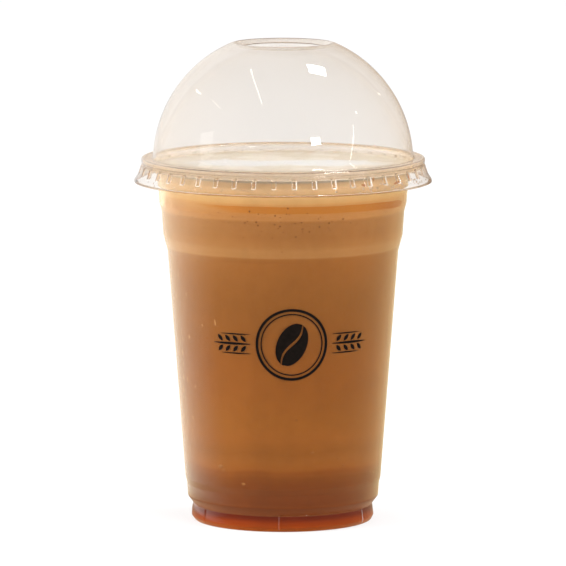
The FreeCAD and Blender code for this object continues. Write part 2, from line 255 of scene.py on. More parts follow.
def clear(name, tint, ior, rough, absorb=None, density=0.0, wave=0.0, haze=None, painted_front_tints=None, marks=None):
    """Clear plastic. Lamps' rays pass straight through it."""
    k = Mat(name)
    p = k.node("ShaderNodeBsdfPrincipled")
    k.set(p, Base_Color=(*tint, 1), Roughness=rough, IOR=ior, Transmission_Weight=1.0)
    # Painted see-through colour: tints by height, strong in front and fading behind, stand in for the drink seen
    # through the plastic.
    if painted_front_tints:
        at = k.node("ShaderNodeTexCoord")
        sep = k.node("ShaderNodeSeparateXYZ")
        k.link(at.outputs["Object"], sep.inputs[0])
        low, high = painted_front_tints[0][0], painted_front_tints[-1][0]
        col = k.ramp(k.range(sep.outputs["Z"], low * MM, high * MM), [((z - low) / (high - low), c) for z, c in painted_front_tints])
        behind = k.math("MULTIPLY", k.range(sep.outputs["Y"], 0.004, 0.030, smooth=True), 0.8)
        k.link(k.mix(behind, col, tint), p.inputs["Base Color"])
    if haze:
        p.inputs["Sheen Weight"].default_value = haze[0]
        p.inputs["Sheen Roughness"].default_value = haze[1]
        p.inputs["Sheen Tint"].default_value = (*haze[2], 1)
    if wave:
        geo = k.node("ShaderNodeTexCoord")
        h = k.noise(geo.outputs["Object"], 55, 2.0)
        k.link(k.bump(h, wave, 0.0006), p.inputs["Normal"])
    t = k.node("ShaderNodeBsdfTransparent")
    t.inputs["Color"].default_value = (*[c ** 0.5 for c in tint], 1)
    lp = k.node("ShaderNodeLightPath")
    mx = k.node("ShaderNodeMixShader")
    k.link(lp.outputs["Is Shadow Ray"], mx.inputs[0])
    k.link(t.outputs[0], mx.inputs[2])
    # marks: a mask of painted highlights, mixed in as white diffuse
    if marks:
        white = k.node("ShaderNodeBsdfDiffuse")
        white.inputs["Color"].default_value = (0.93, 0.90, 0.85, 1)
        pale = k.node("ShaderNodeMixShader")
        k.link(marks(k), pale.inputs[0])
        k.link(p.outputs[0], pale.inputs[1])
        k.link(white.outputs[0], pale.inputs[2])
        k.link(pale.outputs[0], mx.inputs[1])
    else:
        k.link(p.outputs[0], mx.inputs[1])
    k.link(mx.outputs[0], k.out.inputs["Surface"])
    if density:
        v = k.node("ShaderNodeVolumeAbsorption")
        v.inputs["Color"].default_value = (*absorb, 1)
        v.inputs["Density"].default_value = density
        k.link(v.outputs[0], k.out.inputs["Volume"])
    return k.m


# -------------------------------------------------------------------- the cup
CUP_OUT = [
    (0, 3.2), (23.8, 3.2, 1.6), (27.4, 0.0, 0.9), (30.25, 0.0, 0.5), (31.02, 1.5, 0.9),
    (30.52, 5.55, 0.35), (32.62, 8.3, 1.1), (32.9, 12.6, 1.6), (33.44, 14.8, 1.6),
    (39.34, 92.6, 4.0), (40.82, 98.1, 4.0), (41.36, 106.2, 1.6), (42.12, 109.0, 1.6),
    (42.86, 118.2, 4.0), (44.3, 121.43, 0.8), (44.12, 123.95, 1.2), (47.5, 123.95, 1.2), (47.5, 121.2),
]
cup_outer = refine(fillet(CUP_OUT), 2.5)
cup_inner = offset(cup_outer, CUP_WALL)
cup_inner = [(max(r, 0.0), z) for r, z in cup_inner]
cup_inner[0] = (0.0, cup_inner[0][1])


def lobes(R, Z, A):
    """Three raised lobes round the foot, with short sloped ends."""
    deg = np.degrees(A)
    d = np.abs((deg - 29.0 + 60.0) % 120.0 - 60.0)          # from a lobe's middle
    up = 1 - smooth01((d - 31.4) / 0.6)
    low = smooth01((Z - 0.2) / 1.0) * (1 - smooth01((Z - 5.2) / 0.5))
    lift = 0.25 + 0.23 * np.clip((Z - 1.2) / 4.0, 0, 1)
    side = smooth01((R - 30.0) / 0.3)
    return R + up * low * side * lift, Z


around = sorted(set([round(v, 3) for v in evenly(360, -1.5)] + [
    round((29.0 + 120.0 * j + sgn * d) % 360.0 - 1.5, 3) for j in range(3) for sgn in (-1, 1)
    for d in (31.3, 31.4, 31.5, 31.6, 31.7, 31.8, 31.9, 32.0, 32.1)]))
around = [a for i, a in enumerate(around) if i == 0 or a - around[i - 1] > 0.05]
around = [a + 1.5 for a in around]
cup = lathe("cup_wall", cup_outer + cup_inner[::-1], around, lobes)
# ---------------------------------------------------------------- the contents
LIQUID_IN = 0.2   # how far the drink reaches into the wall, so that no gap shows
bore = [(r, z) for r, z in offset(cup_outer, CUP_WALL - LIQUID_IN)]


def wall_radius(z, prof=None):
    """Radius of the liquid's side at height z, above the foot."""
    best = 0
    pr = prof or bore
    for (r0, z0), (r1, z1) in zip(pr, pr[1:]):
        if r0 > 29 and min(z0, z1) <= z <= max(z0, z1) and z1 != z0:
            best = max(best, r0 + (r1 - r0) * (z - z0) / (z1 - z0))
    return best


def side(z0, z1):
    """The liquid's side from z0 up to z1."""
    inside = [(r, z) for r, z in bore if r > 29.5 and z0 + 0.05 < z < z1 - 0.05 and z < 121.3]
    return [(wall_radius(z0), z0)] + inside + [(wall_radius(z1), z1)]


LEVEL = 121.25
SETTLED, FROTH = 20.2, 113.1
foot = [(r, z) for r, z in bore if z < SETTLED - 0.05]
foot[0] = (0.0, foot[0][1])
settled = lathe("settled_drink", foot + [(wall_radius(SETTLED), SETTLED), (0.0, SETTLED)],
                around, lambda R, Z, A: (lobes(R + 0.25, Z, A)[0] - 0.25 * (R > 0), Z))
coffee = lathe("coffee_body", [(0.0, SETTLED - 0.02)] + side(SETTLED - 0.02, FROTH) + [(0.0, FROTH)], evenly(300))


def froth_top():
    """Froth surface: rings of a grid, uneven like settled foam, climbing the wall."""
    rng = np.random.default_rng(7)
    edge = wall_radius(120.9)
    rad = [0.0] + list(np.linspace(0.8, edge - 1.6, 62)) + [edge - 1.1, edge - 0.7, edge - 0.35, edge - 0.12]
    cols = 360
    az = np.radians(evenly(cols))
    waves = [(rng.uniform(0.05, 0.35), rng.uniform(0, 6.28), rng.uniform(0, 6.28), rng.uniform(0.02, 0.10)) for _ in range(26)]

    def height(x, y):
        h = 0.0
        for k, ang, ph, amp in waves:
            h = h + amp * np.sin(k * (x * math.cos(ang) + y * math.sin(ang)) + ph)
        return h * 0.55
    bubbles = [(rng.uniform(0, 6.28), math.sqrt(rng.uniform(0, 1)) * (edge - 1.5), rng.uniform(0.25, 0.9)) for _ in range(420)]
    bx = np.array([b[1] * math.sin(b[0]) for b in bubbles])
    by = np.array([-b[1] * math.cos(b[0]) for b in bubbles])
    br = np.array([b[2] for b in bubbles])
    verts, faces = [(0, 0, (LEVEL + float(height(0, 0))) * MM)], []
    index = [[0] * cols]
    for r in rad[1:]:
        x, y = r * np.sin(az), -r * np.cos(az)
        z = LEVEL + height(x, y) * min(1.0, (edge - r) / 3.0)
        climb = 0.55 * math.exp(-(edge - r) / 0.7)
        d2 = (x[:, None] - bx) ** 2 + (y[:, None] - by) ** 2
        dome = np.sqrt(np.clip(br ** 2 - d2, 0, None)).max(1)
        z = z + climb + dome * 0.35 * (1.0 if edge - r > 1.2 else 0.3)
        index.append(list(range(len(verts), len(verts) + cols)))
        verts.extend(zip(x * MM, y * MM, z * MM))
    top_side = side(FROTH - 0.02, 121.0)[::-1]
    for r, z in [(wall_radius(121.2) , 121.45)] + top_side:
        x, y = r * np.sin(az), -r * np.cos(az)
        index.append(list(range(len(verts), len(verts) + cols)))
        verts.extend(zip(x * MM, y * MM, np.full(cols, z) * MM))
    index.append([len(verts)] * cols)
    verts.append((0, 0, (FROTH - 0.02) * MM))
    for a, b in zip(index, index[1:]):
        for k in range(cols):
            k2 = (k + 1) % cols
            f = []
            for v in (a[k], b[k], b[k2], a[k2]):
                if v not in f:
                    f.append(v)
            faces.append(f)
    return make("froth_layer", verts, faces, sharp=45)


froth = froth_top()

# -------------------------------------------------------------------- the lid
dome = []
R0, ZC = 44.4, 122.7
a_top = math.acos(18.2 / R0)
a_foot = math.asin((125.9 - ZC) / R0)
for k in range(49):
    t = a_top + (a_foot - a_top) * k / 48
    dome.append((R0 * math.cos(t), ZC + R0 * math.sin(t)))
crest = fillet([(12.6, 162.42), (14.4, 162.38, 0.6), (16.75, 163.62, 0.7), (18.2, dome[0][1])])
rim = fillet([dome[-1], (44.62, 124.45, 0.45), (48.38, 124.45, 0.85), (48.38, 122.95, 0.3),
              (48.02, 122.45, 0.3), (48.4, 121.95, 0.25), (49.45, 118.85, 0.5), (50.62, 116.95, 0.7), (50.74, 116.35)])
lid_out = refine(crest, 0.9)[:-1] + dome + refine(rim, 0.42)[1:]
lid_in = offset(lid_out, -LID_WALL)
lid_in[0] = (12.64, 162.42 - 0.16)
lid_in = [(r - (0.38 * smooth01((117.0 - z) / 0.45) if r > 49.0 and z < 117.0 else 0.0), z) for r, z in lid_in]
RIB_PITCH, RIB_PHASE, RIBS = 8.0, -3.6, 45
in_pitch = [-4.0, -2.9, -2.0, -1.3, -1.0, -0.93, -0.85, -0.77, -0.7, -0.4, 0.0, 0.4, 0.7, 0.77, 0.85, 0.93, 1.0, 1.3, 2.0, 2.9]
lid_cols = [RIB_PHASE + RIB_PITCH * k + d for k in range(RIBS) for d in in_pitch]


def ribs(R, Z, A):
    """Short upright ribs pressed inwards round the skirt, uneven by a little."""
    deg = np.degrees(A) - RIB_PHASE
    k = np.round(deg / RIB_PITCH)
    d = np.abs(deg - k * RIB_PITCH)
    press = 1 - smooth01((d - 0.72) / 0.26)
    tall = smooth01((Z - 118.75) / 0.35) * (1 - smooth01((Z - 121.65) / 0.25))
    uneven = 0.85 + 0.3 * np.abs(np.sin(k * 12.9898) * 43758.5453 % 1.0)
    lip = smooth01((118.6 - Z) / 1.6) * (np.sin(np.radians(deg) * 9 + 0.7) * 0.05 + np.sin(np.radians(deg) * 23) * 0.03)
    skirt = R > 47.0
    face = np.interp(Z, [116.35, 116.95, 118.85, 121.95], [50.74, 50.55, 49.45, 48.4])
    depth = np.where(R > face - 0.22, 0.22, 0.50)
    return R + np.where(skirt, -press * tall * depth * uneven + lip, 0), Z


lid = lathe("dome_lid", lid_out + lid_in[::-1], lid_cols, ribs, sharp=40)


# --------------------------------------------------------- print on the wall
def wall_out(z):
    best = 0
    for (r0, z0), (r1, z1) in zip(cup_outer, cup_outer[1:]):
        if r0 > 29 and min(z0, z1) <= z <= max(z0, z1) and z1 != z0:
            best = max(best, r0 + (r1 - r0) * (z - z0) / (z1 - z0))
    return best


INK = []   # (grid of (u, v) mm) strips, u along the wall, v up


def strip(left, right, across=4):
    """A patch between two curves of (u, v) with the same number of points."""
    INK.append([[(a[0] + (b[0] - a[0]) * j / across, a[1] + (b[1] - a[1]) * j / across)
                 for j in range(across + 1)] for a, b in zip(left, right)])


def turned(p, ang, at):
    c, s = math.cos(ang), math.sin(ang)
    return (at[0] + p[0] * c - p[1] * s, at[1] + p[0] * s + p[1] * c)


def ring(cx, cy, r0, r1, n=96):
    a = [(cx + r0 * math.cos(2 * math.pi * k / n), cy + r0 * math.sin(2 * math.pi * k / n)) for k in range(n + 1)]
    b = [(cx + r1 * math.cos(2 * math.pi * k / n), cy + r1 * math.sin(2 * math.pi * k / n)) for k in range(n + 1)]
    strip(a, b, 3)


def bean(cx, cy, half_len, half_wid, ang, slit=0.42):
    """A coffee bean seen from its flat side: two halves and a wavy slit."""
    n = 40
    for sgn in (-1, 1):
        outer_c, inner_c = [], []
        for k in range(n + 1):
            t = -1 + 2 * k / n
            w = half_wid * math.sqrt(max(0.0, 1 - t * t))
            mid = 0.26 * half_wid * math.sin(t * 2.7)
            gap = slit * (0.45 + 0.55 * (1 - abs(t)))
            inner = mid + sgn * gap
            outer = sgn * w
            if sgn * (outer - inner) < 0:
                inner = outer
            outer_c.append(turned((outer, t * half_len), ang, (cx, cy)))
            inner_c.append(turned((inner, t * half_len), ang, (cx, cy)))
        strip(inner_c, outer_c, 5)


def leaf(cx, cy, length, width, ang):
    n = 14
    a, b = [], []
    for k in range(n + 1):
        t = k / n
        w = width * math.sin(math.pi * t) ** 0.8
        a.append(turned((t * length, -w), ang, (cx, cy)))
        b.append(turned((t * length, w), ang, (cx, cy)))
    strip(a, b, 2)


def rule(x0, x1, y, thick, bow=0.0):
    n = 40
    a, b = [], []
    for k in range(n + 1):
        t = k / n
        x = x0 + (x1 - x0) * t
        w = thick * (0.25 + 0.75 * math.sin(math.pi * t))
        yy = y + bow * math.sin(math.pi * t)
        a.append((x, yy - w))
        b.append((x, yy + w))
    strip(a, b, 1)


PRINT_U, PRINT_V = 3.0, 65.0
ring(0, 0, 11.4, 12.3)
ring(0, 0, 10.2, 10.6)
bean(0.0, 0.0, 7.6, 5.0, math.radians(-24), 0.5)
for s in (-1, 1):
    for row in (0, 1, 2):
        rule(s * 14.2, s * (28.0 - 3.0 * abs(row - 1)), 0.0 - 3.3 * (row - 1), 0.42 if row == 1 else 0.22)
    for k in range(4):
        leaf(s * (15.8 + 2.9 * k), 0.7, 2.7, 0.62, math.radians(90 - s * 40))
        leaf(s * (15.8 + 2.9 * k), -0.7, 2.7, 0.62, math.radians(-90 + s * 40))


def ink_mesh():
    verts, faces = [], []
    for grid in INK:
        rows, cols = len(grid), len(grid[0])
        base = len(verts)
        for lift in (0.07, -0.05):
            for row in grid:
                for u, v in row:
                    z = PRINT_V + v
                    r = wall_out(z)
                    az = (PRINT_U + u) / wall_out(PRINT_V)
                    r += lift
                    verts.append((r * math.sin(az) * MM, -r * math.cos(az) * MM, z * MM))
        k = rows * cols
        flip = None
        for i in range(rows - 1):
            for j in range(cols - 1):
                q = [base + i * cols + j, base + i * cols + j + 1, base + (i + 1) * cols + j + 1, base + (i + 1) * cols + j]
                faces.append(q)
                faces.append([v + k for v in q[::-1]])
        loop = [(0, j) for j in range(cols)] + [(i, cols - 1) for i in range(1, rows)] + \
               [(rows - 1, j) for j in range(cols - 2, -1, -1)] + [(i, 0) for i in range(rows - 2, 0, -1)]
        for p, q in zip(loop, loop[1:] + loop[:1]):
            a, b = base + p[0] * cols + p[1], base + q[0] * cols + q[1]
            faces.append([a, a + k, b + k, b])
    ob = make("wall_print", verts, faces, sharp=30)
    import bmesh
    bm = bmesh.new()
    bm.from_mesh(ob.data)
    bmesh.ops.remove_doubles(bm, verts=bm.verts, dist=1e-7)
    bmesh.ops.dissolve_degenerate(bm, edges=bm.edges, dist=1e-7)
    bmesh.ops.recalc_face_normals(bm, faces=bm.faces)
    bm.to_mesh(ob.data)
    bm.free()
    return ob


ink = ink_mesh()

# --------------------------------------------- bubbles, flecks, drops, smears
_ball = None


def ball():
    """Points and faces of a small round bead of radius 1."""
    global _ball
    if _ball is None:
        import bmesh
        bm = bmesh.new()
        bmesh.ops.create_icosphere(bm, subdivisions=2, radius=1.0)
        bm.verts.ensure_lookup_table()
        _ball = (np.array([v.co[:] for v in bm.verts]), [[v.index for v in f.verts] for f in bm.faces])
        bm.free()
    return _ball


def dabs(name, items):
    """Joined flattened beads. Each: azimuth deg, z, r, half width, half height, half depth, turn deg (mm)."""
    pts, tris = ball()
    verts, faces = [], []
    for az, z, r, hu, hv, hn, turn in items:
        a, t = math.radians(az), math.radians(turn)
        n = np.array([math.sin(a), -math.cos(a), 0.0])
        u0, v0 = np.array([math.cos(a), math.sin(a), 0.0]), np.array([0.0, 0.0, 1.0])
        u, v = u0 * math.cos(t) + v0 * math.sin(t), v0 * math.cos(t) - u0 * math.sin(t)
        c = n * r + v0 * z
        bend = pts[:, 0:1] * hu
        p = c + bend * u + pts[:, 1:2] * hv * v + pts[:, 2:3] * hn * n
        p = p - n * ((bend ** 2) / (2 * r))
        base = len(verts)
        verts.extend([tuple(q) for q in p * MM])
        faces.extend([[base + i for i in f] for f in tris])
    return make(name, verts, faces)


rng = random.Random(11)
at_wall = lambda z, out=0.0: wall_radius(z) + out
bubble_list = []
for az, z in ((-15.5, 110.6), (-3.6, 109.3), (2.2, 111.8), (-18.0, 106.6), (-11.8, 105.8), (-3.9, 106.2), (-1.5, 105.6),
              (9.0, 104.6), (8.6, 106.9), (17.3, 105.2), (29.0, 107.6), (6.0, 102.0), (-12.5, 107.0), (22.0, 106.4), (33.5, 106.0)):
    bubble_list.append((az, z, at_wall(z, 0.02), rng.uniform(0.26, 0.42), rng.uniform(0.24, 0.36), 0.10, rng.uniform(0, 90)))
for k in range(150):
    az, z = rng.uniform(-180, 180), 102.5 + 7.5 * rng.random()
    if z > 112.6:
        continue
    s_ = rng.uniform(0.10, 0.24) * (1.5 if rng.random() < 0.12 else 1.0)
    bubble_list.append((az, z, at_wall(z, 0.01), s_, s_ * rng.uniform(0.8, 1.1), 0.07, rng.uniform(0, 90)))
for k in range(150):
    az, z = rng.uniform(-180, 180), rng.uniform(24, 102)
    s_ = rng.uniform(0.10, 0.22)
    bubble_list.append((az, z, at_wall(z, 0.01), s_, s_, 0.06, 0))
for az, z in ((7.5, 39.0), (37.0, 22.5), (33.0, 25.0)):
    bubble_list.append((az, z, at_wall(z, 0.02), 0.3, 0.26, 0.08, 0))
bubbles = dabs("wall_bubbles", bubble_list)

fleck_list = [(-38.5, 22.0, at_wall(22.0, 0.03), 1.0, 0.6, 0.10, 12), (-23.5, 16.6, at_wall(16.6, 0.03), 0.75, 0.45, 0.09, -8),
              (-36.5, 20.8, at_wall(20.8, 0.03), 0.5, 0.3, 0.07, 40)]
for k in range(12):
    az, z = rng.uniform(-180, 180), rng.choice((rng.uniform(15, 30), rng.uniform(60, 104)))
    fleck_list.append((az, z, at_wall(z, 0.02), rng.uniform(0.25, 0.6), rng.uniform(0.15, 0.35), 0.06, rng.uniform(-40, 40)))
flecks = dabs("cream_flecks", fleck_list)

# wet streaks of thin foam on the wall, at the left and sparsely round the back
streak_list = []
for az, z in ((-58.8, 79.9), (-46.7, 70.0), (-37.5, 71.6), (-67.5, 66.2), (-58.6, 65.1), (-68.1, 59.2), (-67.9, 55.1),
              (-69.2, 50.5), (-64.0, 50.2), (-55.8, 48.3), (-68.5, 43.3), (-71.1, 40.0), (-70.2, 38.0), (-68.0, 35.0),
              (-62.1, 32.7), (-71.5, 29.2), (-67.8, 26.1), (-70.0, 62.5), (-70.7, 45.9)):
    streak_list.append((az, z, at_wall(z, 0.05), rng.uniform(0.2, 0.45), rng.uniform(0.5, 1.2), 0.07, rng.uniform(8, 32)))
for k in range(16):
    az, z = rng.choice((rng.gauss(-72, 9), rng.uniform(95, 265))), rng.uniform(28, 90)
    streak_list.append((az, z, at_wall(z, 0.05), rng.uniform(0.2, 0.5), rng.uniform(0.4, 1.2), 0.06, rng.uniform(-10, 35)))
streaks = dabs("foam_streaks", streak_list)


def skirt_radius(z):
    """Radius of the lid skirt's outer face at height z."""
    return float(np.interp(z, [116.35, 116.95, 118.85, 121.95], [50.74, 50.55, 49.45, 48.4]))


drop_list = []
for k in range(46):
    az = rng.gauss(52, 13)
    z = rng.uniform(116.9, 119.4)
    r_ = rng.uniform(0.14, 0.42)
    drop_list.append((az, z, skirt_radius(z) - LID_WALL - r_ * 0.25, r_, r_ * rng.uniform(0.8, 1.3), r_ * 0.6, 0))
for k in range(70):
    az = rng.uniform(-180, 180)
    z = rng.uniform(116.9, 119.2)
    r_ = rng.uniform(0.12, 0.30)
    drop_list.append((az, z, skirt_radius(z) - LID_WALL - r_ * 0.25, r_, r_ * rng.uniform(0.8, 1.3), r_ * 0.6, 0))
for k in range(5):
    drop_list.append((-19.0 + 1.55 * k, 118.9 - 0.22 * k, skirt_radius(118.6) - LID_WALL - 0.12, 0.75, 0.16, 0.2, -14))
drops = dabs("skirt_droplets", drop_list)

smears = dabs("coffee_smears", [
    (61.5, 120.2, 47.75, 0.34, 1.25, 0.16, 14), (70.5, 120.3, 47.75, 0.30, 1.2, 0.16, 12), (79.0, 120.6, 47.75, 0.26, 1.1, 0.15, 12),
    (-68.5, 119.6, 47.85, 0.40, 0.45, 0.14, 0), (34.0, 119.3, 48.25, 1.1, 0.42, 0.15, -18), (52.0, 118.9, 48.5, 1.7, 0.55, 0.16, 4),
    (39.5, 121.0, 47.5, 0.35, 0.8, 0.14, 10), (168.0, 119.6, 48.2, 0.9, 0.4, 0.15, 12), (214.0, 120.1, 47.8, 0.3, 1.1, 0.15, 10)])

# ---------------------------------------------------------------- materials

def rib_edge_highlights(k):
    """Painted highlights on the ribs' edges, where they catch the light from the left: the right edge more than the
    left, and a faint line along each rib's foot.
    """
    at = k.node("ShaderNodeTexCoord")
    sep = k.node("ShaderNodeSeparateXYZ")
    k.link(at.outputs["Object"], sep.inputs[0])
    az = k.math("MULTIPLY", k.math("ARCTAN2", sep.outputs["X"], k.math("MULTIPLY", sep.outputs["Y"], -1.0)), 180 / math.pi)
    turn = k.math("MULTIPLY", k.math("SUBTRACT", az, RIB_PHASE), 1 / RIB_PITCH)
    number = k.math("ROUND", turn)
    d = k.math("MULTIPLY", k.math("SUBTRACT", turn, number), RIB_PITCH)
    right = k.range(k.math("ABSOLUTE", k.math("SUBTRACT", d, 0.86)), 0.26, 0.12, smooth=True)
    left = k.math("MULTIPLY", k.range(k.math("ABSOLUTE", k.math("ADD", d, 0.86)), 0.22, 0.10, smooth=True), 0.35)
    own = k.math("FRACT", k.math("MULTIPLY", k.math("SINE", k.math("MULTIPLY", number, 12.9898)), 437.58))
    own = k.range(own, 0.0, 1.0, 0.10, 0.85)
    tall = k.math("MULTIPLY", k.range(sep.outputs["Z"], 0.1187, 0.1192, smooth=True), k.range(sep.outputs["Z"], 0.1219, 0.1215, smooth=True))
    edge = k.math("MULTIPLY", k.math("MULTIPLY", k.math("ADD", right, left), own), tall)
    foot = k.math("MULTIPLY", k.range(k.math("ABSOLUTE", k.math("SUBTRACT", sep.outputs["Z"], 0.1189)), 0.00025, 0.0001, smooth=True),
                  k.math("MULTIPLY", k.range(k.math("ABSOLUTE", d), 0.95, 0.80, smooth=True), 0.28))
    return k.math("MULTIPLY", k.math("MAXIMUM", edge, foot), 0.8)


# Lid: the tan and darker tints at the lip's edge, the skirt and the bead are painted see-through colour, front only.
lid_clear = clear("clear_lid_plastic", (0.957, 0.966, 0.982), 1.5, 0.02, (0.72, 0.50, 0.24), 350.0, 0.025, (0.09, 0.4, (1.0, 0.90, 0.78)), painted_front_tints=[
    (116.2, (0.74, 0.66, 0.56)), (116.75, (0.78, 0.70, 0.60)), (117.1, (0.905, 0.905, 0.915)), (121.4, (0.91, 0.89, 0.87)),
    (122.1, (0.82, 0.80, 0.78)), (123.6, (0.82, 0.80, 0.78)), (124.5, (0.88, 0.865, 0.85)), (125.2, (0.955, 0.962, 0.975)), (127.0, (0.957, 0.968, 0.984)), (160.6, (0.957, 0.968, 0.984)), (161.6, (0.925, 0.930, 0.940)), (163.7, (0.925, 0.930, 0.940))],
    marks=rib_edge_highlights)

def lobe_edge_highlights(k):
    """Painted highlights where the foot's lobes end, brightest at the right-hand lobe edge, where the light catches it.
    """
    at = k.node("ShaderNodeTexCoord")
    sep = k.node("ShaderNodeSeparateXYZ")
    k.link(at.outputs["Object"], sep.inputs[0])
    az = k.math("MULTIPLY", k.math("ARCTAN2", sep.outputs["X"], k.math("MULTIPLY", sep.outputs["Y"], -1.0)), 180 / math.pi)
    turn = k.math("MULTIPLY", k.math("SUBTRACT", az, 29.0), 1 / 120.0)
    d = k.math("ABSOLUTE", k.math("MULTIPLY", k.math("SUBTRACT", turn, k.math("ROUND", turn)), 120.0))
    line = k.math("MULTIPLY", k.range(k.math("ABSOLUTE", k.math("SUBTRACT", d, 31.6)), 0.55, 0.25, smooth=True), k.range(az, -40, 0, 0.01, 0.04))
    wide = k.math("MULTIPLY", k.range(k.math("ABSOLUTE", k.math("SUBTRACT", d, 31.9)), 1.2, 0.7, smooth=True), k.range(az, 30, 50, 0.0, 0.26))
    line = k.math("MAXIMUM", line, wide)
    tall = k.math("MULTIPLY", k.range(sep.outputs["Z"], 0.0004, 0.0012, smooth=True), k.range(sep.outputs["Z"], 0.0055, 0.0050, smooth=True))
    return k.math("MULTIPLY", k.math("MULTIPLY", line, tall), 1.0)


cup_foot = clear("clear_cup_foot", (0.985, 0.975, 0.965), 1.5, 0.012, None, 0.0, 0.03, (0.36, 0.4, (1.0, 0.72, 0.48)), marks=lobe_edge_highlights)
# Cup: the warm tint at the rim, under the lid, is painted see-through colour, front only.
cup_clear = clear("clear_cup_plastic", (0.985, 0.975, 0.965), 1.5, 0.012, None, 0.0, 0.03, (0.68, 0.45, (1.0, 0.775, 0.42)), painted_front_tints=[
    (0.0, (0.985, 0.975, 0.965)), (120.6, (0.985, 0.975, 0.965)), (121.3, (0.965, 0.915, 0.86)), (124.0, (0.965, 0.915, 0.86))])


def drink(name, stops, z0, z1, sss, extra=None, rough=0.35):
    """Opaque milky drink coloured by height, clouded by slow noise."""
    k = Mat(name)
    tc = k.node("ShaderNodeTexCoord")
    obj = tc.outputs["Object"]
    sep = k.node("ShaderNodeSeparateXYZ")
    k.link(obj, sep.inputs[0])
    wob = k.noise(obj, 60, 2.0)
    deep = k.range(sep.outputs["Z"], 0.03, 0.06, 0.004, 0.0004, smooth=True)
    deep = k.math("MULTIPLY", deep, k.range(sep.outputs["Z"], 0.007, 0.016, smooth=True))
    z = k.math("ADD", sep.outputs["Z"], k.math("MULTIPLY", k.math("SUBTRACT", wob, 0.5), deep))
    fac = k.range(z, z0 * MM, z1 * MM)
    col = k.ramp(fac, [((p - z0) / (z1 - z0), c) for p, c in stops])
    cloud = k.noise(obj, 38, 4.0, 0.55)
    col = k.mix(k.range(cloud, 0.35, 0.7), k.mix(1.0, col, (0.93, 0.915, 0.89), "MULTIPLY"), k.mix(1.0, col, (1.03, 1.03, 1.03), "MULTIPLY"))
    fine = k.range(k.noise(obj, 300, 3.0, 0.6), 0.3, 0.7)
    col = k.mix(fine, k.mix(1.0, col, (0.97, 0.965, 0.955), "MULTIPLY"), k.mix(1.0, col, (1.03, 1.035, 1.045), "MULTIPLY"))
    if extra:
        col = extra(k, col, obj, sep)
    p = k.node("ShaderNodeBsdfPrincipled")
    k.set(p, Roughness=rough, Subsurface_Weight=sss, Subsurface_Scale=0.0016)
    p.inputs["Subsurface Radius"].default_value = (1.0, 0.5, 0.22)
    p.inputs["Specular IOR Level"].default_value = 0.06
    k.link(col, p.inputs["Base Color"])
    k.link(p.outputs[0], k.out.inputs["Surface"])
    return k.m


# Colours as they show in even light, save the painted light noted at the lists below; LIT is how strongly this stage
# lights them.
LIT = (0.975, 0.955, 1.09)


def lit(r, g, b):
    return tuple(max(0.001, (c - 0.005) / e) for c, e in zip(srgb(r, g, b), LIT))


# Body: the lighter bands from 94.6 to 96.8 mm and from 107.5 to 109.6 mm, where the wall steps out, are painted light
# that the steps catch.
body_stops = [
    (20.2, lit(136, 73, 30)), (22.0, lit(153, 89, 37)), (24.5, lit(152, 91, 40)), (27.5, lit(146, 87, 37)),
    (32, lit(156, 93, 40)), (37, lit(153, 92, 38)), (49, lit(147, 86, 36)), (58, lit(146, 85, 35)),
    (68, lit(145, 87, 38)), (78, lit(146, 90, 42)), (85, lit(149, 93, 45)), (92.6, lit(156, 98, 48)), (94.1, lit(158, 100, 50)),
    (94.6, lit(176, 124, 76)), (96.8, lit(178, 126, 78)), (98.6, lit(170, 116, 69)), (101.5, lit(164, 110, 63)),
    (105.4, lit(166, 112, 66)), (106.9, lit(169, 114, 67)), (107.5, lit(187, 130, 79)), (109.6, lit(188, 131, 79)), (111.0, lit(191, 139, 88)),
    (112.2, lit(199, 147, 95)), (113.1, lit(208, 160, 107))]
# Settled layer: orange at the very bottom, darkest just under the foot's ledge, a pale line at the ledge's edge:
# painted light through the bottom edge, painted shade under the ledge and a painted highlight along its edge.
settled_stops = [
    (0.4, lit(172, 84, 22)), (1.8, lit(158, 66, 14)), (3.0, lit(146, 56, 16)), (4.2, lit(114, 38, 13)), (5.2, lit(104, 32, 13)), (5.45, lit(142, 86, 54)),
    (5.8, lit(140, 72, 36)), (7.4, lit(131, 66, 31)), (9.5, lit(119, 58, 28)), (13, lit(122, 61, 29)), (16, lit(124, 63, 27)),
    (18.5, lit(130, 69, 28)), (20.2, lit(140, 77, 32))]
froth_stops = [(113.1, lit(209, 164, 113)), (114.4, lit(213, 173, 126)), (116, lit(225, 187, 146)),
               (117.6, lit(237, 204, 170)), (119.6, lit(241, 209, 177)), (120.6, lit(236, 210, 186)), (121.6, lit(226, 207, 186))]


def painted_reflection_band(k, col, obj, sep):
    """A deeper orange band under the froth, from the front round to the right: a painted reflection in the wall,
    deepest on the right; then the painted pale sides.
    """
    az = k.math("ARCTAN2", sep.outputs["X"], k.math("MULTIPLY", sep.outputs["Y"], -1.0))
    wob = k.math("MULTIPLY", k.math("SUBTRACT", k.noise(obj, 60, 2.0), 0.5), 0.0010)
    dip = k.math("MULTIPLY", k.math("POWER", k.math("MAXIMUM", az, 0.0), 2.0), 0.0004)
    z = k.math("ADD", k.math("ADD", sep.outputs["Z"], wob), dip)
    tall = k.math("MULTIPLY", k.range(z, 0.1097, 0.1100, smooth=True), k.range(z, 0.1124, 0.1121, smooth=True))
    off = k.math("MULTIPLY", k.math("SUBTRACT", z, 0.1110), 1 / 0.0013)
    end = k.math("ADD", az, k.math("MULTIPLY", k.math("MULTIPLY", off, off), 0.12))
    lead = k.math("ADD", az, k.math("MULTIPLY", off, 0.16))
    reach = k.math("MULTIPLY", k.range(lead, -0.72, -0.36, smooth=True), k.range(end, 1.30, 1.26, smooth=True))
    deep = k.mix(k.range(az, 0.6, 1.15, smooth=True), lit(187, 121, 56), lit(170, 98, 34))
    col = k.mix(k.math("MULTIPLY", tall, reach), col, deep)
    return painted_pale_sides(k, col, obj, sep, 0.1078, 0.1092)


